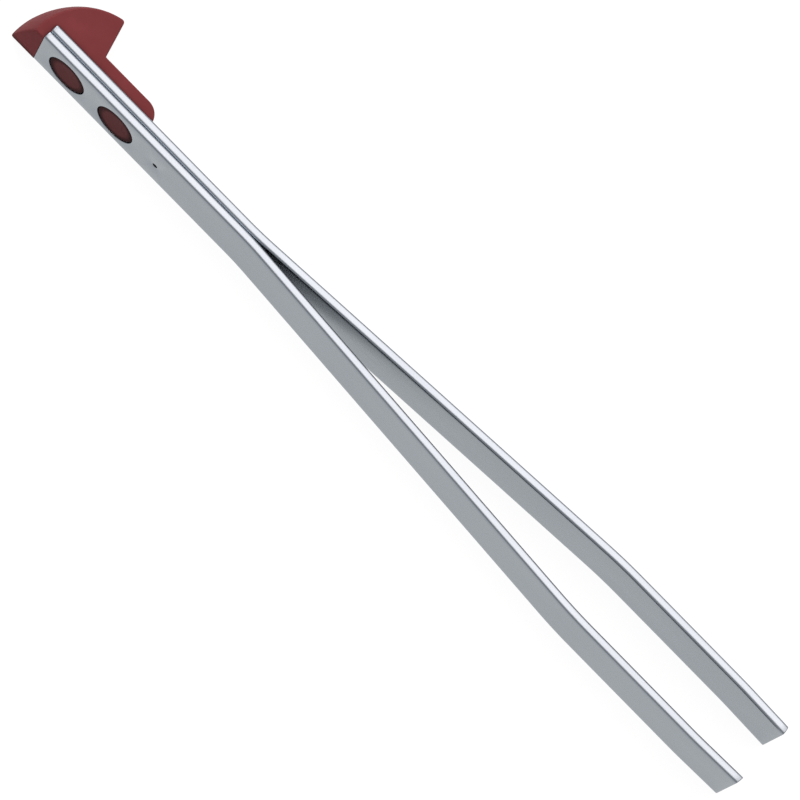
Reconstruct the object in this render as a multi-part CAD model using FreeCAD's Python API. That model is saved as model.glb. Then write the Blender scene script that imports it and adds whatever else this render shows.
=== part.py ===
"""Slim spring tweezers with a moulded head, made to slide into a slot in a pocket-knife handle.

Two stainless strips, the leaves, lie back to back in the head and spread towards the tips.
Millimetres. +X runs from the head to the tips, +Y is the direction in which the arms open,
and +Z is up from the face that the tweezers lie on. The origin is the bottom centre of the box.
"""
import FreeCAD, Part
import math
import os

V = FreeCAD.Vector
UP = V(0, 0, 1)

# Leaves. Lengths along X are counted from the end of the strips inside the head.
LEAF_WIDTH = 2.83           # along Z: the strips lie on their narrow edges
LEAF_THICK = 0.435
LEAF_GAP = 0.01             # between the two inner faces, along the shank
EDGE_RADIUS = 0.12          # rolled long edges of the strips
TIP_X = 43.60
FLARE_X = 12.50             # first bend: the arms leave the shank
PLATEAU_X = 33.50           # second bend: the arms run parallel
NIP_X = 41.00               # third bend: the tips turn in
PLATEAU_HALF_GAP = 1.405    # inner face to the middle plane
TIP_HALF_GAP = 1.330
FLARE_RADIUS = 20.0
SOFT_RADIUS = 30.0          # second and third bends
TIP_SETBACK = 0.055         # outer corner of a tip, behind its inner corner

# Stud holes and weld.
HOLE_RADIUS = 1.045
HOLE_X = 1.706
HOLE_PITCH = 2.972
WELD_X = 7.15
WELD_RADIUS = 0.28
WELD_BITE = 0.13            # how deep the weld reaches into each leaf
DIMPLE_RADIUS = 0.13        # the small pressed mark over the weld
DIMPLE_DEPTH = 0.22

# Head moulding.
HEAD_HEIGHT = 2.70
STUD_RECESS = 0.03          # stud ends, below the front leaf's outer face
DOME_CENTRE_X = 2.317       # the outer end is round about an upright axis between the leaves
DOME_RADIUS = 3.733         # at the bottom
DOME_TOP_RADIUS = 2.815
DOME_BULGE = 0.08           # the side's bulge beyond a straight slope, halfway up
FOOT_TOP = 1.01             # low part of the fin, past the nail notch
FOOT_ROUND_X = 5.05         # the foot's end starts to curve down here
FOOT_ROUND_RADIUS = 0.80
NOTCH_X = 2.40              # inner corner of the nail notch
NOTCH_SLOPE = -0.325        # its steep side, dx/dy
NOTCH_RADIUS = 0.12
PEAK_RADIUS = 0.10
RIM_RADIUS = 0.07           # rounded rim of the head's top and bottom

HALF_GAP = LEAF_GAP / 2
OUTER_Y = HALF_GAP + LEAF_THICK
MID_Z = LEAF_WIDTH / 2
STUD_PLACES = [HOLE_X, HOLE_X + HOLE_PITCH]


def turn_between(before, corner, after):
    """Signed turn at a corner, in radians, anticlockwise positive."""
    first = corner - before
    second = after - corner
    return math.atan2(first.x * second.y - first.y * second.x, first.dot(second))


def bend_edges(points, radii):
    """Straight runs through points, joined at the inner ones by tangent arcs of these radii."""
    edges = []
    start = points[0]
    for before, corner, after, radius in zip(points, points[1:], points[2:], radii):
        turn = turn_between(before, corner, after)
        back = radius * math.tan(abs(turn) / 2)
        towards_before = (before - corner).normalize()
        towards_after = (after - corner).normalize()
        arc_start = corner + towards_before * back
        arc_end = corner + towards_after * back
        to_middle = (towards_before + towards_after).normalize()
        sag = radius / math.cos(turn / 2) - radius
        if (arc_start - start).Length > 1e-6:
            edges.append(Part.makeLine(start, arc_start))
        edges.append(Part.Arc(arc_start, corner + to_middle * sag, arc_end).toShape())
        start = arc_end
    edges.append(Part.makeLine(start, points[-1]))
    return edges


def flex_point():
    """Where the flare bend ends on the rear leaf's inner face, and the slope of the arm from there."""
    slope = math.atan2(PLATEAU_HALF_GAP - HALF_GAP, PLATEAU_X - FLARE_X)
    along = V(math.cos(slope), math.sin(slope), 0)
    return V(FLARE_X, HALF_GAP, 0) + along * FLARE_RADIUS * math.tan(slope / 2), slope


FLEX_POINT, ARM_SLOPE = flex_point()


def leaf_side(offset):
    """One long side of the rear leaf in plan: its inner face (offset 0) or its outer face."""
    setback = TIP_SETBACK * offset / LEAF_THICK
    points = [V(0, HALF_GAP + offset, 0),
              V(FLARE_X, HALF_GAP + offset, 0),
              V(PLATEAU_X, PLATEAU_HALF_GAP + offset, 0),
              V(NIP_X, PLATEAU_HALF_GAP + offset, 0),
              V(TIP_X - setback, TIP_HALF_GAP + offset, 0)]
    return bend_edges(points, [FLARE_RADIUS - offset, SOFT_RADIUS + offset, SOFT_RADIUS + offset])


def round_long_edges(solid):
    """Round the strip edges that run along the leaf, at its top and its bottom."""
    along = []
    for edge in solid.Edges:
        box = edge.BoundBox
        if box.ZLength < 1e-6 and box.XLength > LEAF_THICK:
            along.append(edge)
    return solid.makeFillet(EDGE_RADIUS, along)


def rear_leaf():
    """The whole rear strip, without its holes."""
    inner = leaf_side(0)
    outer = leaf_side(LEAF_THICK)
    root = Part.makeLine(inner[0].Vertexes[0].Point, outer[0].Vertexes[0].Point)
    tip = Part.makeLine(inner[-1].Vertexes[-1].Point, outer[-1].Vertexes[-1].Point)
    outline = Part.Wire(Part.__sortEdges__(inner + outer + [root, tip]))
    return round_long_edges(Part.Face(outline).extrude(UP * LEAF_WIDTH))


def shank_room():
    """A block around all of the leaf on the head's side of the flex line, square to the strip there."""
    length, breadth = 2 * FLEX_POINT.x, 4 * LEAF_THICK
    block = Part.makeBox(length, 2 * breadth, LEAF_WIDTH + 2, V(-length, -breadth, -1))
    block.rotate(V(0, 0, 0), UP, math.degrees(ARM_SLOPE))
    block.translate(FLEX_POINT)
    return block


def rear_shank():
    strip = rear_leaf().common(shank_room())
    for x in STUD_PLACES:
        hole = Part.makeCylinder(HOLE_RADIUS, LEAF_THICK, V(x, HALF_GAP, MID_Z), V(0, 1, 0))
        strip = strip.cut(hole)
    return strip.cut(weld_nugget())


def rear_arm():
    return rear_leaf().cut(shank_room())


def mirrored(shape):
    return shape.mirror(V(0, 0, 0), V(0, 1, 0))


def front_shank():
    """The rear shank's mirror image, with the small pressed mark over the weld."""
    place = V(WELD_X, -OUTER_Y, MID_Z)
    mark = Part.makeCone(DIMPLE_RADIUS, DIMPLE_RADIUS / 2, DIMPLE_DEPTH, place, V(0, 1, 0))
    return mirrored(rear_shank()).cut(mark)


def weld_nugget():
    """The disc of fused metal that joins the leaves, let into both."""
    half = HALF_GAP + WELD_BITE
    return Part.makeCylinder(WELD_RADIUS, 2 * half, V(WELD_X, -half, MID_Z), V(0, 1, 0))


def dome():
    """Solid of revolution: a gently bulging side that leans in towards the top."""
    foot = V(DOME_RADIUS, 0, 0)
    middle = V((DOME_RADIUS + DOME_TOP_RADIUS) / 2 + DOME_BULGE, 0, HEAD_HEIGHT / 2)
    top = V(DOME_TOP_RADIUS, 0, HEAD_HEIGHT)
    axis_top = V(0, 0, HEAD_HEIGHT)
    profile = Part.Wire([Part.makeLine(V(0, 0, 0), foot), Part.Arc(foot, middle, top).toShape(),
                         Part.makeLine(top, axis_top), Part.makeLine(axis_top, V(0, 0, 0))])
    solid = Part.Face(profile).revolve(V(0, 0, 0), UP, 360)
    solid.translate(V(DOME_CENTRE_X, 0, 0))
    return solid


def foot_point(angle):
    """A point of the foot's round end in plan, at this angle from +X about the arc's centre."""
    reach = V(math.cos(angle), math.sin(angle), 0) * FOOT_ROUND_RADIUS
    return V(FOOT_ROUND_X, FOOT_TOP - FOOT_ROUND_RADIUS, 0) + reach


FOOT_END_ANGLE = math.asin((OUTER_Y - FOOT_TOP) / FOOT_ROUND_RADIUS + 1)    # where it meets the leaf
FOOT_END_X = foot_point(FOOT_END_ANGLE).x


def head_outline():
    """Plan of the head, run out past the dome on its round side."""
    beyond = DOME_RADIUS + 1
    notch_top = V(NOTCH_X + NOTCH_SLOPE * beyond, FOOT_TOP + beyond, 0)
    foot_start = foot_point(math.pi / 2)
    foot_end = foot_point(FOOT_END_ANGLE)
    foot_middle = foot_point((math.pi / 2 + FOOT_END_ANGLE) / 2)
    edges = bend_edges([notch_top, V(NOTCH_X, FOOT_TOP, 0), foot_start], [NOTCH_RADIUS])
    edges.append(Part.Arc(foot_start, foot_middle, foot_end).toShape())
    corners = [foot_end, V(0, OUTER_Y, 0), V(0, -OUTER_Y, 0), V(-beyond, -OUTER_Y, 0),
               V(-beyond, FOOT_TOP + beyond, 0), notch_top]
    straight = [Part.makeLine(a, b) for a, b in zip(corners, corners[1:])]
    return Part.Wire(edges + straight)


def rim_edges(solid):
    """Outer edges of the head's top and bottom, except those that meet a leaf."""
    found = []
    for edge in solid.Edges:
        box = edge.BoundBox
        level = box.ZLength < 1e-6 and (box.ZMax < 1e-6 or box.ZMin > HEAD_HEIGHT - 1e-6)
        at_leaf_end = abs(box.XMin) < 1e-6 and abs(box.XMax) < 1e-6
        at_leaf_face = abs(box.YMin - OUTER_Y) < 1e-6 and abs(box.YMax - OUTER_Y) < 1e-6
        if level and not at_leaf_end and not at_leaf_face:
            found.append(edge)
    return found


def peak_edges(solid):
    """The slanted edge where the notch's steep side meets the dome."""
    return [edge for edge in solid.Edges
            if edge.BoundBox.ZLength > HEAD_HEIGHT - 0.01 and edge.BoundBox.YMin > FOOT_TOP + 1]


def head_cap():
    """One moulding: domed end, fin with a nail notch, and two studs through the leaves."""
    body = Part.Face(head_outline()).extrude(UP * HEAD_HEIGHT).common(dome_and_foot())
    body = body.makeFillet(PEAK_RADIUS, peak_edges(body))
    body = body.makeFillet(RIM_RADIUS, rim_edges(body))
    length = 2 * OUTER_Y - STUD_RECESS
    for x in STUD_PLACES:
        body = body.fuse(Part.makeCylinder(HOLE_RADIUS, length, V(x, OUTER_Y, MID_Z), V(0, -1, 0)))
    return body.removeSplitter()


def dome_and_foot():
    """The dome, with room for the foot of the fin that runs out past its centre."""
    foot_room = Part.makeBox(FOOT_END_X, DOME_RADIUS, HEAD_HEIGHT, V(DOME_CENTRE_X, 0, 0))
    return dome().fuse(foot_room).removeSplitter()


def main():
    nodes = {
        "head_cap": head_cap(),
        "front_leaf_shank": front_shank(),
        "rear_leaf_shank": rear_shank(),
        "weld_nugget": weld_nugget(),
        "front_leaf_arm": mirrored(rear_arm()),
        "rear_leaf_arm": rear_arm(),
    }
    box = Part.makeCompound(list(nodes.values())).optimalBoundingBox()
    origin = V((box.XMin + box.XMax) / 2, (box.YMin + box.YMax) / 2, box.ZMin)
    os.makedirs("parts", exist_ok=True)
    for name, shape in nodes.items():
        shape.translate(origin * -1)
        shape.exportStep("parts/" + name + ".step")
        print(f"{name:18s} valid={shape.isValid()} solids={len(shape.Solids)} volume={shape.Volume:.3f}")
    print("box", round(box.XLength, 3), round(box.YLength, 3), round(box.ZLength, 3))
    print("origin in leaf coordinates", [round(c, 4) for c in origin])
    print("flex line in leaf coordinates", round(FLEX_POINT.x, 4), round(FLEX_POINT.y, 4))


main()
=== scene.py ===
"""Looks for the slim spring tweezers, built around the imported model. Metres, in the model's frame.

Leaf coordinates, in millimetres, are used while a mesh is made: x from the leaf ends inside the head
towards the tips, y from the middle plane between the leaves, z up from the resting face.
"""
import math

import bmesh
import bpy
from mathutils import Matrix, Vector


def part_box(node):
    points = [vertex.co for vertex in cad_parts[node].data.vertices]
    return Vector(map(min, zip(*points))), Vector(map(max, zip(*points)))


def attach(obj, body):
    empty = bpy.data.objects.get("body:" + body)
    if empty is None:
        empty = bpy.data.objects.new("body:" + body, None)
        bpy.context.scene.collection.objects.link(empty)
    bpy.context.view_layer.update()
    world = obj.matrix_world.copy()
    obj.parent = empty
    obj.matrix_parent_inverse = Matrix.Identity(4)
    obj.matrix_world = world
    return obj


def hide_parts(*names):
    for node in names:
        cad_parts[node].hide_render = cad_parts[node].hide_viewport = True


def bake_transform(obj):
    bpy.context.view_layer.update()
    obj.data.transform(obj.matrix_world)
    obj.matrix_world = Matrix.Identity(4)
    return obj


MM = 0.001

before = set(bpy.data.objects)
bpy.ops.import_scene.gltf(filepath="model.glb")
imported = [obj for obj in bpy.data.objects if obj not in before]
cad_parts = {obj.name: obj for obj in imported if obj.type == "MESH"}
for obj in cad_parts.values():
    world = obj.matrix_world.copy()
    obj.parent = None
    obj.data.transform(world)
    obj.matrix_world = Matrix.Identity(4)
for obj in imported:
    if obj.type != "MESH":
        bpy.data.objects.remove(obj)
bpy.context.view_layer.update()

# ---------------------------------------------------------------- sizes, from the frame

rear_low, rear_high = (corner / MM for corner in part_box("rear_leaf_shank"))
front_low, front_high = (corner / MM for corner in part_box("front_leaf_shank"))
arm_low, arm_high = (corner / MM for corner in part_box("rear_leaf_arm"))
head_low, head_high = (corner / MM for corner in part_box("head_cap"))

THICK = 0.435                               # of a strip, the one size here that no node's box gives

ORIGIN = Vector((rear_low.x, (rear_low.y + front_high.y) / 2, 0))     # leaf coordinates' zero, in mm
TIP_X = arm_high.x - ORIGIN.x
WIDTH = rear_high.z
HALF_GAP = rear_low.y - ORIGIN.y
OUTER_Y = HALF_GAP + THICK
PLATEAU_GAP = arm_high.y - ORIGIN.y - THICK  # half the opening between the parallel stretches
HEAD_HEIGHT = head_high.z
MID_Z = WIDTH / 2

# ---------------------------------------------------------------- sizes of the design, in mm

EDGE_RADIUS = 0.12                              # rolled long edges of a strip
TIP_HALF_GAP = 1.330                            # a tip's inner face to the middle plane
TIP_SETBACK = 0.055                             # outer corner of a tip, behind its inner corner
FLARE_X, PLATEAU_X, NIP_X = 12.5, 33.5, 41.0    # the three bends
FLARE_RADIUS, SOFT_RADIUS = 20.0, 30.0          # of the first bend, and of the others

HOLE_RADIUS = 1.045
HOLE_X = 1.706
HOLE_PITCH = 2.972
WELD_X, WELD_RADIUS, WELD_BITE = 7.15, 0.28, 0.13
DIMPLE_RADIUS, DIMPLE_DEPTH = 0.13, 0.22        # the small pressed mark over the weld

DOME_CENTRE = Vector((2.317, 0))
DOME_RADIUS, DOME_TOP_RADIUS, DOME_BULGE = 3.733, 2.815, 0.08
FOOT_TOP, FOOT_ROUND_X, FOOT_ROUND_RADIUS = 1.01, 5.05, 0.80
NOTCH_X, NOTCH_SLOPE = 2.40, -0.325             # the nail notch's inner corner, and dx/dy of its steep side
STUD_RECESS = 0.03                              # a stud's end, below the front leaf's outer face


def place(x, y, z):
    """A point in leaf coordinates, in the model's frame and metres."""
    return (Vector((x, y, z)) + ORIGIN) * MM


# ---------------------------------------------------------------- camera

CAMERA_ELEVATION = math.radians(69.58)
CAMERA_ROLL = math.radians(45.5)
CAMERA_DISTANCE = 181.1         # mm
CAMERA_LENS = 188.5             # mm, for a sensor 36 mm wide
AIM = (21.774, 0.126, 1.247)    # what the camera points at, in leaf coordinates


def add_camera():
    back = Vector((0, -math.cos(CAMERA_ELEVATION), math.sin(CAMERA_ELEVATION)))
    level_up = Vector((0, math.sin(CAMERA_ELEVATION), math.cos(CAMERA_ELEVATION)))
    right = Vector((1, 0, 0)) * math.cos(CAMERA_ROLL) + level_up * math.sin(CAMERA_ROLL)
    up = back.cross(right)
    data = bpy.data.cameras.new("camera")
    data.sensor_width = 36
    data.lens = CAMERA_LENS
    data.clip_start = 0.005
    data.clip_end = 5
    camera = bpy.data.objects.new("camera", data)
    bpy.context.scene.collection.objects.link(camera)
    turn = Matrix((right, up, back)).transposed().to_4x4()
    camera.matrix_world = Matrix.Translation(place(*AIM) + back * CAMERA_DISTANCE * MM) @ turn
    bpy.context.scene.camera = camera


add_camera()

# ---------------------------------------------------------------- mesh helpers


class Shell:
    """Points in leaf coordinates and the faces between them, made into one mesh piece at the end."""

    def __init__(self):
        self.points = []
        self.faces = []
        self.marked = range(0)          # faces that take the piece's second material

    def add(self, x, y, z):
        self.points.append(Vector((x, y, z)))
        return len(self.points) - 1

    def bridge(self, loop_a, loop_b):
        """Quads between two closed loops that have the same number of points."""
        count = len(loop_a)
        for i in range(count):
            j = (i + 1) % count
            self.faces.append((loop_a[i], loop_a[j], loop_b[j], loop_b[i]))

    def piece(self, name, mirror=False):
        """The object, with no loose points and its faces outward. mirror flips it in the middle plane."""
        side = -1 if mirror else 1
        mesh = bpy.data.meshes.new(name)
        places = [place(p.x, p.y * side, p.z) for p in self.points]
        mesh.from_pydata(places, [], self.faces)
        for index in self.marked:
            mesh.polygons[index].material_index = 1
        work = bmesh.new()
        work.from_mesh(mesh)
        bmesh.ops.delete(work, geom=[v for v in work.verts if not v.link_faces], context="VERTS")
        bmesh.ops.recalc_face_normals(work, faces=work.faces)
        work.to_mesh(mesh)
        work.free()
        piece = bpy.data.objects.new(name, mesh)
        bpy.context.scene.collection.objects.link(piece)
        return piece


def spread(start, end, steps):
    """Even steps from start to end, without start itself."""
    return [start + (end - start) * (i + 1) / steps for i in range(steps)]


def smooth(piece, sharp_degrees=40):
    """Smooth shading with creases kept, and flat faces kept flat beside their rounded edges."""
    piece.data.shade_smooth()
    work = bmesh.new()
    work.from_mesh(piece.data)
    for edge in work.edges:
        edge.smooth = not edge.is_manifold or edge.calc_face_angle() < math.radians(sharp_degrees)
    work.to_mesh(piece.data)
    work.free()
    weighted = piece.modifiers.new("flat_faces", "WEIGHTED_NORMAL")
    weighted.keep_sharp = True
    weighted.weight = 100


def baked(piece):
    """The piece with its modifiers applied to its mesh."""
    graph = bpy.context.evaluated_depsgraph_get()
    mesh = bpy.data.meshes.new_from_object(piece.evaluated_get(graph))
    piece.modifiers.clear()
    piece.data = mesh
    return piece


# ---------------------------------------------------------------- leaves

ROWS = 16                   # steps across a broad face
ARC_STEPS = 5               # steps round a rolled long edge
EDGE_STEPS = 3              # steps across a narrow edge's flat part
HOLE_CELL = HOLE_PITCH / 2  # half the length of the square of face that a hole is cut in
CELL_STEPS = 16             # steps along it
WELD_CELL = 0.6             # half the length of the face around the weld
SAME_PLACE = 1e-6           # places along a leaf that are closer than this are one
ROLL_STEPS = 3              # steps round the rim of a hole and the end of a strip
HOLE_ROLL = 0.015           # rounded rim of a hole
DIMPLE_ROLL = 0.025
DIMPLE_TAPER = 0.5          # how much of its radius the pressed mark loses by its bottom
TIP_ROLL = 0.04             # rounded edges of a strip's ends
HINGE_REACH = 6             # an arm's fine steps end this far past the first bend


def bends():
    """Each bend of the rear arm: its place, its change of slope, and the length that it takes."""
    flare = (PLATEAU_GAP - HALF_GAP) / (PLATEAU_X - FLARE_X)
    nip = (TIP_HALF_GAP - PLATEAU_GAP) / (TIP_X - NIP_X)
    changes = [(FLARE_X, flare, FLARE_RADIUS), (PLATEAU_X, -flare, SOFT_RADIUS), (NIP_X, nip, SOFT_RADIUS)]
    return [(x, change, abs(change) * radius) for x, change, radius in changes]


def inner_y(x):
    """The rear leaf's inner face: straight runs joined by round bends."""
    y = HALF_GAP
    for bend_x, change, length in bends():
        past = x - (bend_x - length / 2)
        if past > length:
            y += change * (x - bend_x)
        elif past > 0:
            y += change * past ** 2 / (2 * length)
    return y


def leaf_stations():
    """Places along a leaf where it has a cross-section: close together at cells and bends."""
    (flare_x, _, flare_length), (plateau_x, _, plateau_length), (nip_x, _, nip_length) = bends()
    xs = [TIP_ROLL]
    for end, steps in ((HOLE_X - HOLE_CELL, 1),
                       (HOLE_X + HOLE_CELL, CELL_STEPS),
                       (HOLE_X + HOLE_PITCH + HOLE_CELL, CELL_STEPS),
                       (WELD_X - WELD_CELL, 1),
                       (WELD_X + WELD_CELL, CELL_STEPS // 2),
                       (flare_x - flare_length / 2, 14),
                       (flare_x + flare_length / 2, 12),
                       (flare_x + HINGE_REACH, 24),
                       (plateau_x - plateau_length / 2, 18),
                       (plateau_x + plateau_length / 2, 14),
                       (nip_x - nip_length / 2, 8),
                       (nip_x + nip_length / 2, 8),
                       (TIP_X - TIP_ROLL, 6)):
        xs += spread(xs[-1], end, steps)
    return xs


def section(inset):
    """Cross-section of a strip as (distance from the inner face, height), with this much taken off."""
    roll = EDGE_RADIUS
    low, high = inset + roll, THICK - inset - roll
    bottom, top = inset + roll, WIDTH - inset - roll
    rows = [bottom + (top - bottom) * i / ROWS for i in range(ROWS + 1)]
    arc = spread(0, math.pi / 2, ARC_STEPS)
    loop = [(low - roll, z) for z in rows]
    loop += [(low - roll * math.cos(t), top + roll * math.sin(t)) for t in arc]
    loop += [(d, top + roll) for d in spread(low, high, EDGE_STEPS)]
    loop += [(high + roll * math.sin(t), top + roll * math.cos(t)) for t in arc[:-1]]
    loop += [(high + roll, z) for z in reversed(rows)]
    loop += [(high + roll * math.cos(t), bottom - roll * math.sin(t)) for t in arc]
    loop += [(d, bottom - roll) for d in spread(high, low, EDGE_STEPS)]
    loop += [(low - roll * math.sin(t), bottom - roll * math.cos(t)) for t in arc[:-1]]
    return loop


LOOP_SIZE = len(section(0))
INNER_ROW = 0                                              # index in a loop of the inner face's lowest point
OUTER_ROW = ROWS + ARC_STEPS + EDGE_STEPS + ARC_STEPS      # index of the outer face's highest point


def face_point(loop, outer, row):
    """A loop's point on the inner or outer broad face, rows counted from the bottom."""
    return loop[OUTER_ROW + ROWS - row] if outer else loop[INNER_ROW + row]


def cell_border(loops, outer):
    """The points round a cell of broad face, between its first and last loop, in order."""
    first, last = loops[0], loops[-1]
    border = [face_point(loop, outer, 0) for loop in loops]
    border += [face_point(last, outer, row) for row in range(1, ROWS)]
    border += [face_point(loop, outer, ROWS) for loop in reversed(loops)]
    border += [face_point(first, outer, row) for row in range(ROWS - 1, 0, -1)]
    return border


def round_ring(shell, border, centre_x, radius, y):
    """A circle with one point towards each point of the border."""
    ring = []
    for index in border:
        point = shell.points[index]
        angle = math.atan2(point.z - MID_Z, point.x - centre_x)
        ring.append(shell.add(centre_x + radius * math.cos(angle), y, MID_Z + radius * math.sin(angle)))
    return ring


def rings_inward(shell, border, ring, centre_x, y, inward, profile):
    """Rings of (radius, depth below the face at y), each bridged to the one before. Returns the last."""
    for radius, depth in profile:
        deeper = round_ring(shell, border, centre_x, radius, y + inward * depth)
        shell.bridge(ring, deeper)
        ring = deeper
    return ring


def rolled_rim(shell, border, centre_x, radius, roll, y, inward):
    """Face from a cell's border to a round hole, rolled at its rim. A roll of 0 leaves the rim sharp."""
    turns = [0.0] + (spread(0, math.pi / 2, ROLL_STEPS) if roll else [])
    rim = [(radius + roll * (1 - math.sin(t)), roll * (1 - math.cos(t))) for t in turns]
    return rings_inward(shell, border, border, centre_x, y, inward, rim)


def cut_hole(shell, loops, centre_x):
    """A stud hole through the strip, in the cell between these loops."""
    rims = []
    for outer, y, inward in ((False, HALF_GAP, 1), (True, OUTER_Y, -1)):
        border = cell_border(loops, outer)
        rims.append(rolled_rim(shell, border, centre_x, HOLE_RADIUS, HOLE_ROLL, y, inward))
    shell.bridge(rims[0], rims[1])


def sink(shell, loops, outer, roll, profile):
    """A round pit at the weld, in the leaf's inner or outer face, with a flat bottom."""
    y, inward = (OUTER_Y, -1) if outer else (HALF_GAP, 1)
    border = cell_border(loops, outer)
    ring = rolled_rim(shell, border, WELD_X, profile[0][0], roll, y, inward)
    first = len(shell.faces)
    ring = rings_inward(shell, border, ring, WELD_X, y, inward, profile)
    bottom = shell.add(WELD_X, y + inward * profile[-1][1], MID_Z)
    shell.faces += [(a, b, bottom) for a, b in zip(ring, ring[1:] + ring[:1])]
    return range(first, len(shell.faces))


def weld_pocket(shell, loops):
    """Room in the inner face for the disc of fused metal."""
    sink(shell, loops, False, 0.0, [(WELD_RADIUS, WELD_BITE)])


def press_dimple(shell, loops):
    """The small pressed mark over the weld: a pit whose wall narrows a little, with painted shade inside."""
    wall = [(DIMPLE_RADIUS * (1 - DIMPLE_TAPER * share ** 3), DIMPLE_DEPTH * share)
            for share in (0.2, 0.4, 0.6, 0.8, 1.0)]
    shell.marked = sink(shell, loops, True, DIMPLE_ROLL, wall)


def cap_end(shell, loop):
    """Closes a strip's end, row by row, with a many-sided face at its top and bottom edges."""
    for row in range(ROWS):
        shell.faces.append((face_point(loop, False, row), face_point(loop, False, row + 1),
                            face_point(loop, True, row + 1), face_point(loop, True, row)))
    shell.faces.append(loop[ROWS:OUTER_ROW + 1])
    shell.faces.append(loop[OUTER_ROW + ROWS:] + loop[:1])


def leaf(name, mirror, dimple):
    """One strip of spring steel from the head to the tip, with its stud holes and bends."""
    shell = Shell()

    def loop_at(x, inset=0.0):
        """Cross-section at x. Near the tip it leans, so that the outer corner is set back."""
        lean = TIP_SETBACK / THICK if x > TIP_X - 2 * TIP_ROLL else 0
        base = inner_y(x)
        return [shell.add(x - lean * d, base + d, z) for d, z in section(inset)]

    xs = leaf_stations()
    rounding = spread(0, math.pi / 2, ROLL_STEPS)
    head_loops = [loop_at(TIP_ROLL * (1 - math.sin(t)), TIP_ROLL * (1 - math.cos(t))) for t in rounding]
    tip_loops = [loop_at(TIP_X - TIP_ROLL * (1 - math.sin(t)), TIP_ROLL * (1 - math.cos(t)))
                 for t in rounding]
    body = [loop_at(x) for x in xs]
    loops = head_loops[::-1] + body + tip_loops

    def between(low, high):
        return [loop for loop, x in zip(body, xs) if low - SAME_PLACE <= x <= high + SAME_PLACE]

    holes = [(x, between(x - HOLE_CELL, x + HOLE_CELL)) for x in (HOLE_X, HOLE_X + HOLE_PITCH)]
    weld = between(WELD_X - WELD_CELL, WELD_X + WELD_CELL)
    at_holes = {loop[0] for _, cell in holes for loop in cell[:-1]}
    at_weld = {loop[0] for loop in weld[:-1]}
    open_inner = at_holes | at_weld
    open_outer = open_inner if dimple else at_holes
    # A cell's broad face is left open here, and filled below with its hole or pit.
    for loop, following in zip(loops, loops[1:]):
        for i in range(LOOP_SIZE):
            on_inner = INNER_ROW <= i < INNER_ROW + ROWS
            on_outer = OUTER_ROW <= i < OUTER_ROW + ROWS
            if (on_inner and loop[0] in open_inner) or (on_outer and loop[0] in open_outer):
                continue
            j = (i + 1) % LOOP_SIZE
            shell.faces.append((loop[i], loop[j], following[j], following[i]))
    for x, cell in holes:
        cut_hole(shell, cell, x)
    weld_pocket(shell, weld)
    if dimple:
        press_dimple(shell, weld)
    cap_end(shell, loops[0])
    cap_end(shell, loops[-1])
    return shell.piece(name, mirror)


# ---------------------------------------------------------------- head

RIM_RADIUS = 0.07           # rounded rims of the head, top and bottom
NOTCH_ROUND = 0.05          # how far along each side the notch's inner corner is rounded
PEAK_ROUND = 0.16           # the same at the fin's peak
CORNER_ROUND = 0.12         # the same at the head's front corner
RIM_STEPS = 5               # steps round these rims
WALL_STEPS = 14             # steps up the head's side
SHARP_TURN = 0.2            # sine of the turn from which a point of the outline is a corner

STUD_SIDES = 72
STUD_CLEARANCE = 0.008      # between a stud and its hole
STUD_SHOULDER = 0.11        # rounded edge of a stud's end
STUD_ROOT = 0.1             # how far a stud runs on into the fin, past the rear leaf
STUD_DISH = 0.03            # the stud's end sinks a little at its middle
STUD_RIM_SHADE = (0.38, 0.18)    # painted shade on its end darkens it from here to here, from the edge of its hole


def dome_radius(z):
    """The dome's side leans in towards the top, with a gentle bulge."""
    rise = z / HEAD_HEIGHT
    return DOME_RADIUS + (DOME_TOP_RADIUS - DOME_RADIUS) * rise + 4 * DOME_BULGE * rise * (1 - rise)


def dome_point(radius, angle):
    return DOME_CENTRE + Vector((math.cos(angle), math.sin(angle))) * radius


def line(start, end, steps):
    """Points from start to end, without the end."""
    return [start.lerp(end, i / steps) for i in range(steps)]


def rounded(before, corner, after, steps=5):
    """A corner eased from one side to the other, without its last point."""
    return [before.lerp(corner, share).lerp(corner.lerp(after, share), share)
            for share in (i / steps for i in range(steps))]


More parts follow.
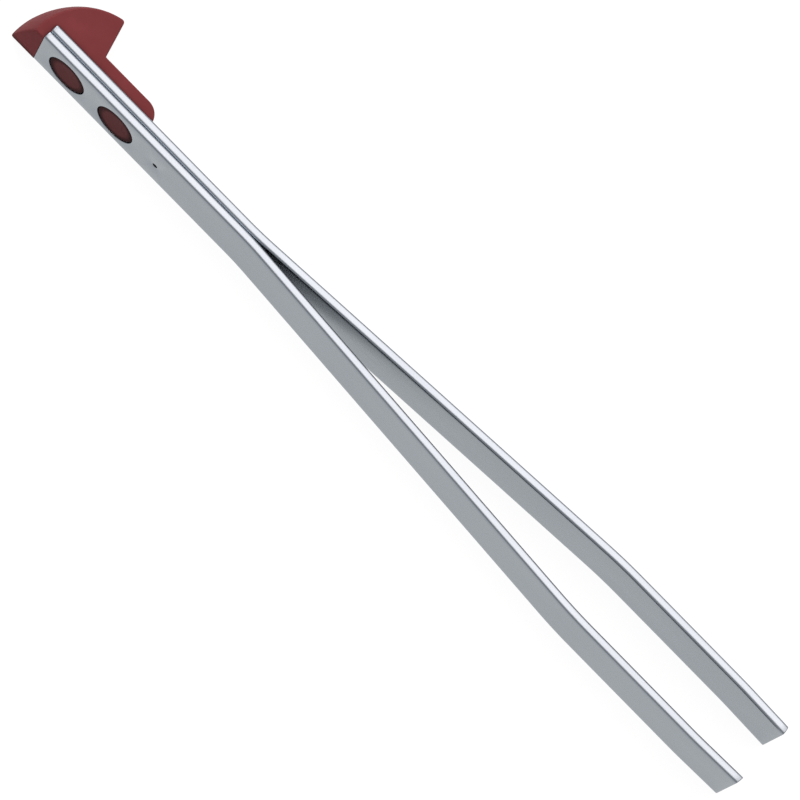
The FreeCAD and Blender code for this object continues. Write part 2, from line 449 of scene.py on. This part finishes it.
def head_plan(z):
    """Outline at this height, anticlockwise, and for each step whether it is free, not against a leaf."""
    radius = dome_radius(z)
    front_angle = math.pi + math.asin((OUTER_Y + DOME_CENTRE.y) / radius)
    notch = Vector((NOTCH_X, FOOT_TOP))
    up_notch = Vector((NOTCH_SLOPE, 1)).normalized()
    to_centre = notch - DOME_CENTRE
    along = to_centre.dot(up_notch)
    peak_distance = -along + math.sqrt(along ** 2 - to_centre.length_squared + radius ** 2)
    peak = notch + up_notch * peak_distance
    peak_angle = math.atan2(peak.y - DOME_CENTRE.y, peak.x - DOME_CENTRE.x)
    front = dome_point(radius, front_angle)

    foot_centre = Vector((FOOT_ROUND_X, FOOT_TOP - FOOT_ROUND_RADIUS))
    foot_angle = math.asin((OUTER_Y - foot_centre.y) / FOOT_ROUND_RADIUS)
    foot_arc = [foot_centre + Vector((math.cos(t), math.sin(t))) * FOOT_ROUND_RADIUS
                for t in [foot_angle] + spread(foot_angle, math.pi / 2, 14)]
    after_front = front + Vector((CORNER_ROUND, 0))
    before_front = dome_point(radius, front_angle - CORNER_ROUND / radius)
    before_notch = notch + Vector((NOTCH_ROUND, 0))
    after_notch = notch + up_notch * NOTCH_ROUND
    before_peak = peak - up_notch * PEAK_ROUND
    after_peak = dome_point(radius, peak_angle + PEAK_ROUND / radius)
    low_end, high_end = Vector((0, -OUTER_Y)), Vector((0, OUTER_Y))
    dome_angles = spread(peak_angle + PEAK_ROUND / radius, front_angle - CORNER_ROUND / radius, 64)

    runs = [(line(after_front, low_end, 8), True),
            (line(low_end, high_end, 6), False),
            (line(high_end, foot_arc[0], 24), False),
            (foot_arc[:-1], True),
            (line(foot_arc[-1], before_notch, 14), True),
            (rounded(before_notch, notch, after_notch), True),
            (line(after_notch, before_peak, 16), True),
            (rounded(before_peak, peak, after_peak), True),
            ([after_peak] + [dome_point(radius, t) for t in dome_angles[:-1]], True),
            (rounded(before_front, front, after_front), True)]
    points = [p for run, _ in runs for p in run]
    free = [is_free for run, is_free in runs for _ in run]
    return points, free


def inset_outline(points, free, amount):
    """Moves each free edge in by amount. Edges against a leaf stay where they are."""
    moved = []
    count = len(points)
    for i, point in enumerate(points):
        normals, pushes = [], []
        for a, b in ((i - 1, i), (i, (i + 1) % count)):
            step = (points[b] - points[a]).normalized()
            normals.append(Vector((step.y, -step.x)))
            pushes.append(-amount if free[a] else 0.0)
        cross = normals[0].x * normals[1].y - normals[0].y * normals[1].x
        if abs(cross) > SHARP_TURN:
            x = (pushes[0] * normals[1].y - pushes[1] * normals[0].y) / cross
            y = (pushes[1] * normals[0].x - pushes[0] * normals[1].x) / cross
            moved.append(point + Vector((x, y)))
        else:
            middle = (normals[0] + normals[1]).normalized()
            moved.append(point + middle * (pushes[0] + pushes[1]) / 2)
    return moved


def head_levels():
    """Heights of the outlines that make up the head, and how far each is drawn in by a rounded rim."""
    quarter = [0.0] + spread(0, math.pi / 2, RIM_STEPS)
    low = [(RIM_RADIUS * (1 - math.cos(t)), RIM_RADIUS * (1 - math.sin(t))) for t in quarter]
    middle = [(z, 0.0) for z in spread(RIM_RADIUS, HEAD_HEIGHT - RIM_RADIUS, WALL_STEPS)[:-1]]
    high = [(HEAD_HEIGHT - z, inset) for z, inset in reversed(low)]
    return low + middle + high


def with_plastics(piece):
    """The head's own plastic, then a darker copy of it, painted shade for the studs, whose faces are marked.
    """
    piece.data.materials.append(RED)
    piece.data.materials.append(SHADED_STUD_RED)
    return piece


def stud(centre_x):
    """A round stud about a line along Y, from inside the fin to just below the front leaf's face."""
    radius = HOLE_RADIUS - STUD_CLEARANCE
    end = -OUTER_Y + STUD_RECESS
    shoulder = [(radius - STUD_SHOULDER * (1 - math.cos(t)), end + STUD_SHOULDER * (1 - math.sin(t)))
                for t in [0.0] + spread(0, math.pi / 2, 6)]
    dish = [(radius * share, end + STUD_DISH * (1 - share ** 2) ** 2)
            for share in (0.8, 0.6, 0.4, 0.2)]
    profile = [(radius, OUTER_Y + STUD_ROOT)] + shoulder + dish
    shell = Shell()
    angles = [2 * math.pi * i / STUD_SIDES for i in range(STUD_SIDES)]
    rings = [[shell.add(centre_x + r * math.cos(t), y, MID_Z + r * math.sin(t)) for t in angles]
             for r, y in profile]
    for ring, following in zip(rings, rings[1:]):
        shell.bridge(ring, following)
    middle = shell.add(centre_x, end + STUD_DISH, MID_Z)
    shell.faces += [(a, b, middle) for a, b in zip(rings[-1], rings[-1][1:] + rings[-1][:1])]
    shell.faces.append(rings[0])
    shell.marked = range(len(shell.faces))
    return with_plastics(shell.piece("stud_" + str(round(centre_x))))


def head():
    """The moulding: domed end, notched fin and two studs, in one mesh."""
    shell = Shell()
    loops = []
    for z, inset in head_levels():
        points, free = head_plan(z)
        loops.append([shell.add(p.x, p.y, z) for p in inset_outline(points, free, inset)])
    for loop, following in zip(loops, loops[1:]):
        shell.bridge(loop, following)
    shell.faces.append(loops[0])
    shell.faces.append(loops[-1])
    piece = with_plastics(shell.piece("head_moulding"))
    for x in (HOLE_X, HOLE_X + HOLE_PITCH):
        tool = stud(x)
        union = piece.modifiers.new("stud", "BOOLEAN")
        union.operation = "UNION"
        union.solver = "EXACT"
        union.object = tool
        baked(piece)
        bpy.data.objects.remove(tool)
    return piece


# ---------------------------------------------------------------- materials


class Finish:
    """One node material: a shader, and texture nodes that vary it over the surface."""

    def __init__(self, name, **settings):
        self.material = bpy.data.materials.new(name)
        self.material.use_nodes = True
        self.tree = self.material.node_tree
        self.shader = self.tree.nodes["Principled BSDF"]
        for socket, value in settings.items():
            self.shader.inputs[socket.replace("_", " ")].default_value = value

    def node(self, kind, inputs=(), **settings):
        """A node with these settings. inputs gives each input's number or name with a value or a socket."""
        made = self.tree.nodes.new(kind)
        for key, value in settings.items():
            setattr(made, key, value)
        for key, value in dict(inputs).items():
            if isinstance(value, bpy.types.NodeSocket):
                self.tree.links.new(value, made.inputs[key])
            else:
                made.inputs[key].default_value = value
        return made

    def noise(self, stretch, detail=4.0, roughness=0.6):
        """Noise in the model's frame. stretch is how many waves fit in a millimetre along X, Y and Z."""
        coordinates = self.node("ShaderNodeTexCoord")
        scaled = self.node("ShaderNodeMapping", {"Vector": coordinates.outputs["Object"],
                                                 "Scale": [waves / MM for waves in stretch]})
        texture = self.node("ShaderNodeTexNoise", {"Vector": scaled.outputs[0], "Scale": 1.0,
                                                   "Detail": detail, "Roughness": roughness})
        return texture.outputs["Fac"]

    def ranged(self, value, low, high, start=0.3, end=0.7):
        """A value from start to end, turned into low to high."""
        made = self.node("ShaderNodeMapRange", {"Value": value, "From Min": start, "From Max": end,
                                                "To Min": low, "To Max": high})
        return made.outputs["Result"]

    def tinted(self, value, dark, light, start=0.3, end=0.7):
        """A colour between dark and light, by a noise value from start to end."""
        ramp = self.node("ShaderNodeValToRGB", {"Fac": value})
        ramp.color_ramp.elements[0].position = start
        ramp.color_ramp.elements[0].color = (*dark, 1)
        ramp.color_ramp.elements[1].position = end
        ramp.color_ramp.elements[1].color = (*light, 1)
        return ramp.outputs["Color"]

    def times(self, colour, factor):
        """The colour, brighter or darker by a factor. A colour mix takes its share, A and B as 0, 6 and 7."""
        mixed = self.node("ShaderNodeMix", {0: 1.0, 6: colour, 7: factor},
                          data_type="RGBA", blend_type="MULTIPLY")
        return mixed.outputs[2]

    def painted_occlusion_light(self, colour, reach, deepest, start=0.62, end=0.98):
        """Painted light and shade: the colour, changed by up to this factor where surfaces stand closer than
        reach, in millimetres.
        """
        open_sky = self.node("ShaderNodeAmbientOcclusion", {"Distance": reach * MM}, samples=8)
        return self.times(colour, self.ranged(open_sky.outputs["AO"], deepest, 1.0, start, end))

    def painted_rim_shade(self, colour, darkest):
        """The colour, darkened with painted shade towards the rims of the two studs."""
        coordinates = self.node("ShaderNodeTexCoord")
        flat = self.node("ShaderNodeVectorMath", {0: coordinates.outputs["Object"], 1: (1, 0, 1)},
                         operation="MULTIPLY")
        from_axes = []
        for x in (HOLE_X, HOLE_X + HOLE_PITCH):
            axis = place(x, 0, MID_Z) * Vector((1, 0, 1))
            apart = self.node("ShaderNodeVectorMath", {0: flat.outputs[0], 1: axis}, operation="DISTANCE")
            from_axes.append(apart.outputs["Value"])
        nearest = self.node("ShaderNodeMath", {0: from_axes[0], 1: from_axes[1]}, operation="MINIMUM")
        start, end = (HOLE_RADIUS - inside for inside in STUD_RIM_SHADE)
        return self.times(colour, self.ranged(nearest.outputs[0], 1.0, darkest, start * MM, end * MM))

    def bump(self, layers):
        """Chained bumps. Each layer is a height value and its depth in millimetres."""
        normal = None
        for height, depth in layers:
            inputs = {"Height": height, "Strength": 1.0, "Distance": depth * MM}
            if normal:
                inputs["Normal"] = normal
            normal = self.node("ShaderNodeBump", inputs).outputs["Normal"]
        self.tree.links.new(normal, self.shader.inputs["Normal"])

    def drive(self, socket, value):
        self.tree.links.new(value, self.shader.inputs[socket])


def steel():
    """Satin ground spring steel: fine lines along the strip, faint cloudiness, and a painted reflection that
    brightens it in narrow gaps.
    """
    finish = Finish("satin_steel", Metallic=1.0)
    grain = finish.noise((0.35, 14.0, 14.0), detail=5.0)
    fine = finish.noise((1.2, 45.0, 45.0), detail=3.0)
    cloud = finish.noise((0.16, 0.5, 0.5), detail=2.0)
    colour = finish.tinted(cloud, (0.256, 0.285, 0.313), (0.272, 0.301, 0.329))
    # Painted reflection: the colour is made up to 2.2 times brighter where other surfaces stand within 0.12
    # mm.
    finish.drive("Base Color", finish.painted_occlusion_light(colour, 0.12, 2.2, start=0.2, end=0.9))
    finish.drive("Roughness", finish.ranged(grain, 0.25, 0.30))
    finish.bump([(grain, 0.00006), (fine, 0.00003)])
    return finish.material


def plastic(name, dark, light, rims=1.0):
    """Moulded plastic with a faint orange-peel skin and painted shade in its corners and gaps. The last
    argument darkens it with painted shade, by this factor, at the studs' rims.
    """
    finish = Finish(name, IOR=1.5, Specular_IOR_Level=0.008)
    cloud = finish.noise((0.6, 0.6, 0.6), detail=3.0)
    skin = finish.noise((9.0, 9.0, 9.0), detail=4.0)
    # Painted shade: the colour darkens, down to 0.45 of itself, where other surfaces stand within 0.5 mm.
    colour = finish.painted_occlusion_light(finish.tinted(cloud, dark, light), 0.5, 0.45)
    finish.drive("Base Color", finish.painted_rim_shade(colour, rims) if rims < 1 else colour)
    finish.drive("Roughness", finish.ranged(skin, 0.42, 0.56))
    finish.bump([(skin, 0.0012)])
    return finish.material


def painted_pit_shade():
    """Blue-black painted shade inside the pressed mark over the weld."""
    finish = Finish("painted_pit_shade", Metallic=0.3)
    cloud = finish.noise((14.0, 14.0, 14.0), detail=3.0)
    finish.drive("Base Color", finish.tinted(cloud, (0.010, 0.011, 0.018), (0.030, 0.032, 0.045)))
    finish.drive("Roughness", finish.ranged(cloud, 0.55, 0.75))
    finish.bump([(cloud, 0.004)])
    return finish.material


def pale_floor():
    """A white table that glows softly, so that shadows on it stay faint."""
    finish = Finish("pale_floor", Roughness=0.9, Emission_Color=(1, 1, 1, 1), Emission_Strength=0.93)
    cloud = finish.noise((0.01, 0.01, 0.01), detail=3.0)
    finish.drive("Base Color", finish.tinted(cloud, (0.075, 0.075, 0.075), (0.085, 0.085, 0.085)))
    return finish.material


STEEL = steel()
RED = plastic("moulded_red", (0.132, 0.028, 0.030), (0.155, 0.034, 0.036))
# A darker copy of the head's red for the studs' ends: painted shade for their recess, with more painted shade
# at their rims.
SHADED_STUD_RED = plastic("stud_end_shaded_red", (0.088, 0.026, 0.027), (0.100, 0.030, 0.031), rims=0.35)

front_leaf = leaf("front_leaf", mirror=True, dimple=True)
rear_leaf = leaf("rear_leaf", mirror=False, dimple=False)
head_moulding = head()
for made in (front_leaf, rear_leaf, head_moulding):
    smooth(made)

for leaf_piece in (front_leaf, rear_leaf):
    leaf_piece.data.materials.append(STEEL)
# Second slot: painted shade for the inside of the pressed mark.
front_leaf.data.materials.append(painted_pit_shade())
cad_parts["weld_nugget"].data.materials[0] = STEEL

# ---------------------------------------------------------------- what moves with what

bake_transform(front_leaf)
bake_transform(rear_leaf)
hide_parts("front_leaf_shank", "front_leaf_arm")
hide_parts("rear_leaf_shank", "rear_leaf_arm")
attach(head_moulding, "head")
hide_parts("head_cap")

# ---------------------------------------------------------------- floor and light

FLOOR_SIZE = 3.0        # m


def add_floor():
    work = bmesh.new()
    bmesh.ops.create_grid(work, x_segments=8, y_segments=8, size=FLOOR_SIZE / 2)
    mesh = bpy.data.meshes.new("floor")
    work.to_mesh(mesh)
    work.free()
    floor = bpy.data.objects.new("floor", mesh)
    bpy.context.scene.collection.objects.link(floor)
    floor.data.materials.append(pale_floor())


def add_soft_light(name, direction, spread_degrees, brightness, colour=(1, 1, 1)):
    """A far round softbox that covers this much of the sky, as bright as this all over."""
    data = bpy.data.lights.new(name, "SUN")
    data.angle = math.radians(spread_degrees)
    data.energy = brightness * math.pi * math.sin(data.angle / 2) ** 2
    data.color = colour
    light = bpy.data.objects.new(name, data)
    light.rotation_mode = "QUATERNION"
    light.rotation_quaternion = Vector(direction).to_track_quat("Z", "Y")
    bpy.context.scene.collection.objects.link(light)


def add_world(colour, strength):
    world = bpy.data.worlds.new("studio")
    world.use_nodes = True
    background = world.node_tree.nodes["Background"]
    background.inputs["Color"].default_value = (*colour, 1)
    background.inputs["Strength"].default_value = strength
    bpy.context.scene.world = world


OVERHEAD = (0, 0.35, 0.94)
WARM_WHITE = (1.0, 0.90, 0.875)

add_floor()
add_soft_light("overhead", OVERHEAD, 36, 1.66, WARM_WHITE)
add_soft_light("overhead_wide", OVERHEAD, 76, 1.36, WARM_WHITE)
add_soft_light("behind_head", (-0.62, 0.62, 0.48), 30, 8.0)
add_world((0.97, 0.97, 1.0), 0.60)
bpy.context.scene.view_settings.view_transform = "Standard"
